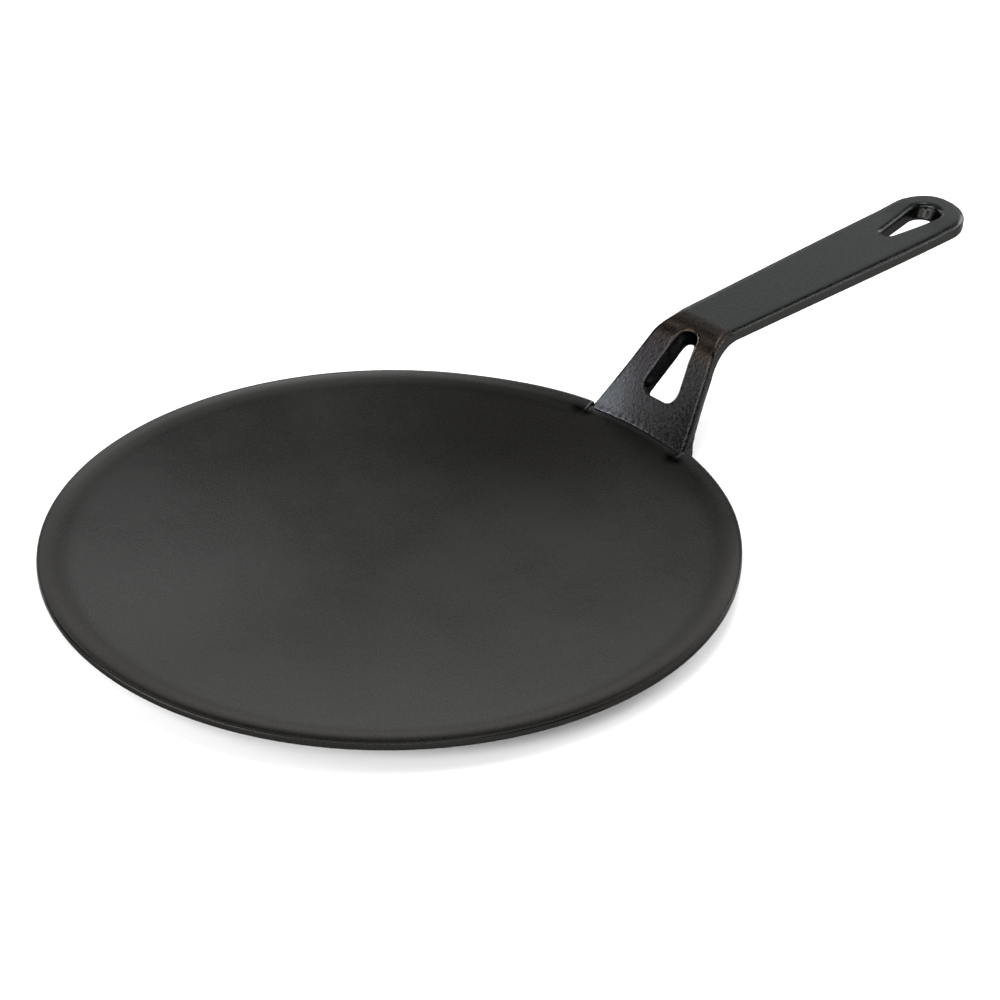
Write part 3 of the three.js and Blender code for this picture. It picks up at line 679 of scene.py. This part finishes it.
def weld(piece, gap=0.002):
    """Join points that lie together, and turn every face outwards. Prints how many edges are left open."""
    net = bmesh.new()
    net.from_mesh(piece.data)
    bmesh.ops.remove_doubles(net, verts=net.verts, dist=gap * MM)
    bmesh.ops.recalc_face_normals(net, faces=net.faces)
    print(piece.name, "welded to", len(net.verts), "points; open edges:", sum(e.is_boundary for e in net.edges))
    net.to_mesh(piece.data)
    net.free()


handle = handle_piece()
weld(handle)

# %% [markdown]
# ## Camera
#
# The rim is a circle, so the ellipse that it makes in the photograph tells how steeply the camera looks down, and the
# handle tells from which side. The distance shows in how much smaller the far side looks. A Track To constraint could
# turn the camera, but the photograph is also rolled by less than a degree, so its directions go into its matrix.

# %% Camera
AZIMUTH, ELEVATION, ROLL = -42.603, 31.278, 0.699  # degrees
DISTANCE, TARGET, LENS = 1300.0, (63.138, 8.947), 121.874
SENSOR_WIDTH, FARTHEST = 36.0, 50.0


def aim_camera(azimuth, elevation, roll, distance, target, lens):
    """Camera on a line from a point on the floor: turned round the tawa, raised, and rolled about its view."""
    turn, rise, lean = (math.radians(v) for v in (azimuth, elevation, roll))
    back = np.array([math.sin(turn) * math.cos(rise), -math.cos(turn) * math.cos(rise), math.sin(rise)])
    right = np.array([math.cos(turn), math.sin(turn), 0.0])
    up = np.cross(back, right)
    across, upward = math.cos(lean) * right + math.sin(lean) * up, -math.sin(lean) * right + math.cos(lean) * up
    place_at = (np.array([*target, 0.0]) + distance * back) * MM
    camera = bpy.data.objects.new("camera", bpy.data.cameras.new("camera"))
    camera.data.lens, camera.data.sensor_width, camera.data.clip_end = lens, SENSOR_WIDTH, FARTHEST
    matrix = np.eye(4)
    matrix[:3, 0], matrix[:3, 1], matrix[:3, 2], matrix[:3, 3] = across, upward, back, place_at
    camera.matrix_world = Matrix(matrix.tolist())
    bpy.context.scene.collection.objects.link(camera)
    bpy.context.scene.camera = camera
    print("camera at", place_at.round(3).tolist(), "m")


aim_camera(AZIMUTH, ELEVATION, ROLL, DISTANCE, TARGET, LENS)

# %% [markdown]
# ## Riding on the model
#
# Nothing on a tawa moves, so both pieces ride on the model's one body. Each takes the place of its plain CAD node,
# which is then no longer shown. Parenting by hand would only suit a still.

# %% Ride and replace
for piece, node in ((plate, "griddle_plate"), (handle, "handle")):
    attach(piece, "root")
    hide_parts(node)
    print(piece.name, "rides on root and replaces", node)

# %% [markdown]
# ## Materials
#
# Seasoned iron has next to no colour of its own. What the eye sees is the light that its skin throws back, broken up
# by the grain. A dark shader like that of plastic would do from above, but it brightens too much at flat angles. So
# both materials are metallic with a very dark base colour, and a Specular Tint of one half keeps the rims from
# lighting up. Base colour is then how much light the skin throws back, so a lighter or a darker patch is only a
# lighter or a darker base colour, and most of the patches below are painted light and shade. The grain is worked out
# from
# Object coordinates. The pieces stand at the origin, so these are real metres, and a noise scale of 1000 gives grains
# about a millimetre across.

# %% Node helpers
EDGE_TINT = (0.5, 0.5, 0.5, 1)


def start_material(name):
    """New material with a metallic Principled shader, and its Object coordinates."""
    material = bpy.data.materials.new(name)
    material.use_nodes = True
    tree = material.node_tree
    shader = tree.nodes["Principled BSDF"]
    shader.inputs["Metallic"].default_value = 1.0
    shader.inputs["Specular Tint"].default_value = EDGE_TINT
    return material, tree, shader, add_node(tree, "TexCoord", {}).outputs["Object"]


def add_node(tree, kind, inputs, **settings):
    """New node of a kind with its settings. Each input is given a value, or is joined to another node's output."""
    node = tree.nodes.new("ShaderNode" + kind)
    for name, value in settings.items():
        setattr(node, name, value)
    for key, value in inputs.items():
        if isinstance(value, bpy.types.NodeSocket):
            tree.links.new(value, node.inputs[key])
        else:
            node.inputs[key].default_value = value
    return node


def grain(tree, place, scale, detail=3.0, roughness=0.6):
    """Noise between 0 and 1 with this many waves to the metre."""
    inputs = {"Vector": place, "Scale": scale, "Detail": detail, "Roughness": roughness}
    return add_node(tree, "TexNoise", inputs).outputs["Fac"]


def span(tree, value, low, high, to_low=0.0, to_high=1.0):
    """Turns the range low to high of a value into another range, with soft ends."""
    inputs = {"Value": value, "From Min": low, "From Max": high, "To Min": to_low, "To Max": to_high}
    return add_node(tree, "MapRange", inputs, interpolation_type="SMOOTHSTEP").outputs["Result"]


def maths(tree, operation, first, second):
    """One sum of two inputs, each a number or another node's output."""
    return add_node(tree, "Math", {0: first, 1: second}, operation=operation).outputs["Value"]


def blend(tree, share, first, second):
    """Colour between two colours, each a tuple or another node's output, by a share from 0 to 1."""
    colours = {}
    for socket, colour in ((6, first), (7, second)):  # the Mix node's two colour inputs
        colours[socket] = (*colour, 1) if isinstance(colour, tuple) else colour
    return add_node(tree, "Mix", {"Factor": share, **colours}, data_type="RGBA").outputs[2]


def bump(tree, height, depth_mm, under=None):
    """Bump whose height runs from 0 to this many millimetres, on top of another bump if one is given."""
    below = {} if under is None else {"Normal": under}
    return add_node(tree, "Bump", {"Height": height, "Distance": depth_mm * MM, **below}).outputs["Normal"]


# %% Places on a piece
def axis(tree, place, name):
    """One of the three coordinates."""
    return add_node(tree, "SeparateXYZ", {"Vector": place}).outputs[name]


def note(tree, name):
    """Number that the mesh keeps for each of its points under a name."""
    return add_node(tree, "Attribute", {}, attribute_name=name).outputs["Fac"]


def band(tree, value, low, rise, fall, high):
    """1 between rise and fall, and 0 below low and above high, with soft ends."""
    return maths(tree, "MULTIPLY", span(tree, value, low, rise), span(tree, value, fall, high, 1.0, 0.0))


def away(tree, place, x, y):
    """Distance in metres from the upright line through a point on the floor."""
    flat = add_node(tree, "VectorMath", {0: place, 1: (1, 1, 0)}, operation="MULTIPLY").outputs["Vector"]
    return add_node(tree, "VectorMath", {0: flat, 1: (x, y, 0)}, operation="DISTANCE").outputs["Value"]


def patch(tree, place, where, inside=1.0):
    """Soft-edged patch round an upright line: 1 inside and 0 outside, or the other way round. Where gives the
    line's x and y, the distance at which the patch starts to fade, and the distance at which it is gone."""
    x, y, inner, outer = where
    return span(tree, away(tree, place, x, y), inner, outer, inside, 1.0 - inside)


# %% [markdown]
# ## Turned iron
#
# The top of the plate was turned on a lathe, oiled and baked black. Its grain is so fine that it only takes the shine
# off. Over it lies painted light and shade: painted shade by the handle, a painted pool of light towards the left, a
# painted highlight along the far side of the lip and painted shade along its near side, and painted shadows where the
# lip ends at the riser's corners. Painting these would need an unwrapped mesh. Distances from a few upright lines do
# the same here.

# %% Turned iron
SEASONED_DARK, SEASONED_LIGHT = (0.0265, 0.0263, 0.0254), (0.0287, 0.0285, 0.0276)
# painted shade on the top by the handle, a painted pool of light towards the left, and painted shade along the near
# side of the lip
PAINTED_SHADE_BY_HANDLE, PAINTED_POOL_OF_LIGHT, PAINTED_NEAR_LIP_SHADE = (0.0160, 0.0155, 0.0148), (0.0400, 0.0397, 0.0390), (0.0170, 0.0165, 0.0155)
# a painted shadow where the lip ends at the riser, and a painted highlight along the far side of the lip
PAINTED_CORNER_SHADOW, PAINTED_LIP_HIGHLIGHT = (0.0030, 0.0029, 0.0028), (0.0620, 0.0615, 0.0600)
HANDLE_SHADE_PATCH, LIGHT_POOL_PATCH = (0.108, 0.035, 0.02, 0.09), (-0.078, 0.074, 0.025, 0.10)
FAR_SIDE_PATCH = (0.095, 0.102, 0.11, 0.25)
CORNER_SHADOW_PATCHES = [(0.1250, y, 0.0032, 0.0076) for y in (-0.0255, 0.0265)]  # where the lip ends, on both sides
LIP_RADII, LIP_HIGHLIGHT_RADII = (0.1145, 0.1240), (0.1248, 0.1290)


def turned_iron():
    """Top of the plate: fine even grain, faint cloudy patches in the seasoning, hardly any tool marks left, and
    painted light and shade.
    """
    material, tree, shader, place = start_material("turned_iron")
    clouds, fine = grain(tree, place, 24.0, 4.0), grain(tree, place, 1400.0, 2.0)
    radius = away(tree, place, 0.0, 0.0)
    near_side = patch(tree, place, FAR_SIDE_PATCH, inside=0.0)
    colour = blend(tree, span(tree, clouds, 0.35, 0.65), SEASONED_DARK, SEASONED_LIGHT)
    # painted shade on the top by the handle and towards the far right
    colour = blend(tree, patch(tree, place, HANDLE_SHADE_PATCH, inside=0.0), PAINTED_SHADE_BY_HANDLE, colour)
    # painted pool of light towards the left
    colour = blend(tree, patch(tree, place, LIGHT_POOL_PATCH), colour, PAINTED_POOL_OF_LIGHT)
    # painted shade along the near side of the lip
    colour = blend(tree, maths(tree, "MULTIPLY", span(tree, radius, *LIP_RADII), near_side), colour, PAINTED_NEAR_LIP_SHADE)
    # painted shadows where the lip ends at the riser's corners
    for where in CORNER_SHADOW_PATCHES:
        colour = blend(tree, patch(tree, place, where), colour, PAINTED_CORNER_SHADOW)
    # painted highlight along the far side of the lip
    far_side = span(tree, near_side, 0.0, 0.5, 1.0, 0.0)
    colour = blend(tree, maths(tree, "MULTIPLY", span(tree, radius, *LIP_HIGHLIGHT_RADII), far_side), colour, PAINTED_LIP_HIGHLIGHT)
    tree.links.new(colour, shader.inputs["Base Color"])
    rough = maths(tree, "ADD", span(tree, clouds, 0.3, 0.7, 0.265, 0.295), span(tree, fine, 0.3, 0.7, -0.02, 0.02))
    tree.links.new(rough, shader.inputs["Roughness"])
    tree.links.new(bump(tree, fine, 0.012), shader.inputs["Normal"])
    print(material.name, "has", len(tree.nodes), "nodes")
    return material


plate.data.materials.append(turned_iron())

# %% [markdown]
# ## Cast skin
#
# The handle kept the skin that the sand gave it, pebbly on the riser and rubbed smoother on the grip. Fine specks
# glint on the riser, and the bend has gone a little brown. The riser's face carries painted light and shade, darker
# on the right and lighter and lilac on the left, and a painted bluish sheen at its left foot. The sides carry painted
# light and shade of their own, and painted shade makes the iron inside the two holes black. Coordinates alone can't
# tell where a side begins, so the material reads the two notes that the mesh keeps.

# %% Cast skin
# painted shade on the right of the riser's face, painted light with a lilac tint on its left, and a painted bluish
# sheen at its left foot
SHADED_SKIN_RIGHT, LIT_SKIN_LEFT, PAINTED_SHEEN = (0.0215, 0.0216, 0.0207), (0.0240, 0.0228, 0.0252), (0.0410, 0.0460, 0.0515)
SPECK, BROWN, GRIP_TOP = (0.0350, 0.0325, 0.0345), (0.0320, 0.0250, 0.0208), (0.0275, 0.0288, 0.0284)
# painted light and shade on the side walls of the grip and the riser, and painted shade inside the two holes
SHADED_SIDE_OF_GRIP, LIT_SIDE_OF_RISER, PAINTED_HOLLOW_SHADE = (0.0250, 0.0246, 0.0234), (0.0270, 0.0280, 0.0266), (0.0060, 0.0060, 0.0064)
PAINTED_SHEEN_PATCH, SPECK_SHARE = (0.130, 0.023, 0.004, 0.017), 0.6
RISER_TO_GRIP, BROWN_BAND = (0.150, 0.166), (0.145, 0.154, 0.156, 0.167)  # places along X, in metres
PEBBLE_MM, FINE_MM, PEBBLES_ON_GRIP = 0.13, 0.012, 0.25


def riser_skin(tree, place):
    """Colour of the riser's face: painted shade on the right and painted light with a lilac tint on the left, the
    painted sheen at its left foot, and specks over all.
    """
    left = span(tree, axis(tree, place, "Y"), -0.012, 0.014)
    specks = span(tree, grain(tree, place, 1500.0, 1.0), 0.38, 0.62)
    # painted light and shade across the riser's face: darker on the right, lighter and lilac on the left
    skin = blend(tree, left, SHADED_SKIN_RIGHT, LIT_SKIN_LEFT)
    # painted bluish sheen, a reflection, at the riser's left foot
    skin = blend(tree, patch(tree, place, PAINTED_SHEEN_PATCH), skin, PAINTED_SHEEN)
    return blend(tree, maths(tree, "MULTIPLY", specks, SPECK_SHARE), skin, SPECK)


def cast_skin():
    """Handle: a pebbly skin from the sand on the riser, brown where it was held at the bend, smoother on the grip."""
    material, tree, shader, place = start_material("cast_iron_skin")
    along_x = axis(tree, place, "X")
    riser = span(tree, along_x, *RISER_TO_GRIP, 1.0, 0.0)
    clouds, pebbles, fine = (grain(tree, place, *how) for how in ((60.0, 3.0), (900.0, 2.0), (2200.0, 2.0)))
    colour = blend(tree, riser, GRIP_TOP, riser_skin(tree, place))
    colour = blend(tree, band(tree, along_x, *BROWN_BAND), colour, BROWN)
    # painted light and shade on the side walls: darker along the grip and lighter along the riser
    side = blend(tree, riser, SHADED_SIDE_OF_GRIP, LIT_SIDE_OF_RISER)
    colour = blend(tree, span(tree, note(tree, "wall"), 0.10, 0.30), colour, side)
    # painted shade inside the two holes, weaker in the hang hole
    hollow_shade = maths(tree, "MULTIPLY", note(tree, "opening"), span(tree, along_x, 0.2, 0.25, 1.0, 0.45))
    colour = blend(tree, hollow_shade, colour, PAINTED_HOLLOW_SHADE)
    tree.links.new(colour, shader.inputs["Base Color"])
    rough = maths(tree, "ADD", span(tree, pebbles, 0.3, 0.7, 0.22, 0.36), span(tree, clouds, 0.3, 0.7, -0.02, 0.02))
    tree.links.new(rough, shader.inputs["Roughness"])
    height = maths(tree, "MULTIPLY", pebbles, span(tree, riser, 0.0, 1.0, PEBBLES_ON_GRIP, 1.0))
    tree.links.new(bump(tree, fine, FINE_MM, bump(tree, height, PEBBLE_MM)), shader.inputs["Normal"])
    print(material.name, "has", len(tree.nodes), "nodes")
    return material


handle.data.materials.append(cast_skin())

# %% [markdown]
# ## Floor and backdrop
#
# The tawa stands on white, and no edge of the floor shows. A curved sweep behind it would do that from one side only.
# So the floor is a round disc of its own, not attached to the tawa, and the world behind it is white as well. A Light
# Path node shows that white to the camera alone, so that all the light comes from the softboxes.

# %% Floor
FLOOR_RADIUS, FLOOR_CORNERS, FLOOR_WHITE = 2.3, 96, (0.95, 0.95, 0.95, 1)
floor_mesh = bpy.data.meshes.new("floor")
turn = np.linspace(0, 2 * math.pi, FLOOR_CORNERS, endpoint=False)
corners = [(FLOOR_RADIUS * math.cos(a), FLOOR_RADIUS * math.sin(a), 0) for a in turn]
floor_mesh.from_pydata(corners, [], [tuple(range(FLOOR_CORNERS))])
floor = bpy.data.objects.new("floor", floor_mesh)
bpy.context.scene.collection.objects.link(floor)
white, _, white_shader, _ = start_material("white_floor")
white_shader.inputs["Base Color"].default_value = FLOOR_WHITE
white_shader.inputs["Metallic"].default_value = 0.0
white_shader.inputs["Roughness"].default_value = 1.0
white_shader.inputs["Specular IOR Level"].default_value = 0.0
floor_mesh.materials.append(white)
print("floor", 2 * FLOOR_RADIUS, "m across")

# %% Backdrop
world = bpy.data.worlds.new("world")
bpy.context.scene.world = world
world.use_nodes = True
backdrop = world.node_tree.nodes["Background"]
backdrop.inputs["Color"].default_value = (1, 1, 1, 1)
seen = world.node_tree.nodes.new("ShaderNodeLightPath")
world.node_tree.links.new(seen.outputs["Is Camera Ray"], backdrop.inputs["Strength"])
bpy.context.scene.view_settings.view_transform = "Standard"
print("view transform:", bpy.context.scene.view_settings.view_transform)

# %% [markdown]
# ## Softboxes
#
# Dark glossy iron shows its lights more than itself, so the light is a ring of softboxes at three heights, with two
# more above. Each box is placed by its direction from the tawa, as a photographer would write it down: how far round
# and how high in degrees, how wide and how tall in metres, and how strong in watts. One big dome of light would be
# simpler, but then the dish would be as bright on its near side as on its far side, and it isn't in the photograph.
# The last three boxes are smaller and only lift the bend and the grip's edge.

# %% Softboxes
SOFTBOX_DISTANCE, SOFTBOX_TARGET = 2.4, Vector((0.05, 0, 0.02))
LOW, MIDDLE, HIGH, SMALL = (1.25, 0.6), (1.2, 0.7), (1.0, 0.8), (0.6, 0.5)
SOFTBOXES = [
    ("right_low", 0, 5, LOW, 25),
    ("back_low", 90, 5, LOW, 69),
    ("left_back_low", 150, 5, LOW, 39),
    ("right", 0, 20, MIDDLE, 40),
    ("right_back", 30, 20, MIDDLE, 10.5),
    ("back_right", 60, 20, MIDDLE, 15.5),
    ("left", 180, 20, MIDDLE, 45.5),
    ("front", 240, 20, MIDDLE, 21.5),
    ("right_front", 330, 20, MIDDLE, 21),
    ("right_back_high", 30, 38, HIGH, 5),
    ("back_right_high", 60, 38, HIGH, 1),
    ("left_back_high", 150, 38, HIGH, 14.5),
    ("front_left_high", 210, 38, HIGH, 22),
    ("back_top", 45, 58, HIGH, 4.7),
    ("top", 0, 82, (1.0, 1.0), 20),
    ("bend_fill", 97, 51, SMALL, 2.6),
    ("edge_fill", 325, 45, SMALL, 6.5),
    ("grip_edge", 306, 18, (0.8, 0.5), 4),
]


def softbox(name, around, height, size, power):
    """Lamp that faces the tawa from a direction, given in degrees round the tawa and up from the floor."""
    turn, rise = math.radians(around), math.radians(height)
    way = Vector((math.cos(turn) * math.cos(rise), math.sin(turn) * math.cos(rise), math.sin(rise)))
    lamp = bpy.data.objects.new(name, bpy.data.lights.new(name, "AREA"))
    lamp.data.shape, lamp.data.energy = "RECTANGLE", power
    lamp.data.size, lamp.data.size_y = size
    lamp.location = SOFTBOX_TARGET + SOFTBOX_DISTANCE * way
    lamp.rotation_euler = way.to_track_quat("Z", "Y").to_euler()
    bpy.context.scene.collection.objects.link(lamp)


for row in SOFTBOXES:
    softbox(*row)
print(len(SOFTBOXES), "softboxes,", sum(row[-1] for row in SOFTBOXES), "W in all")
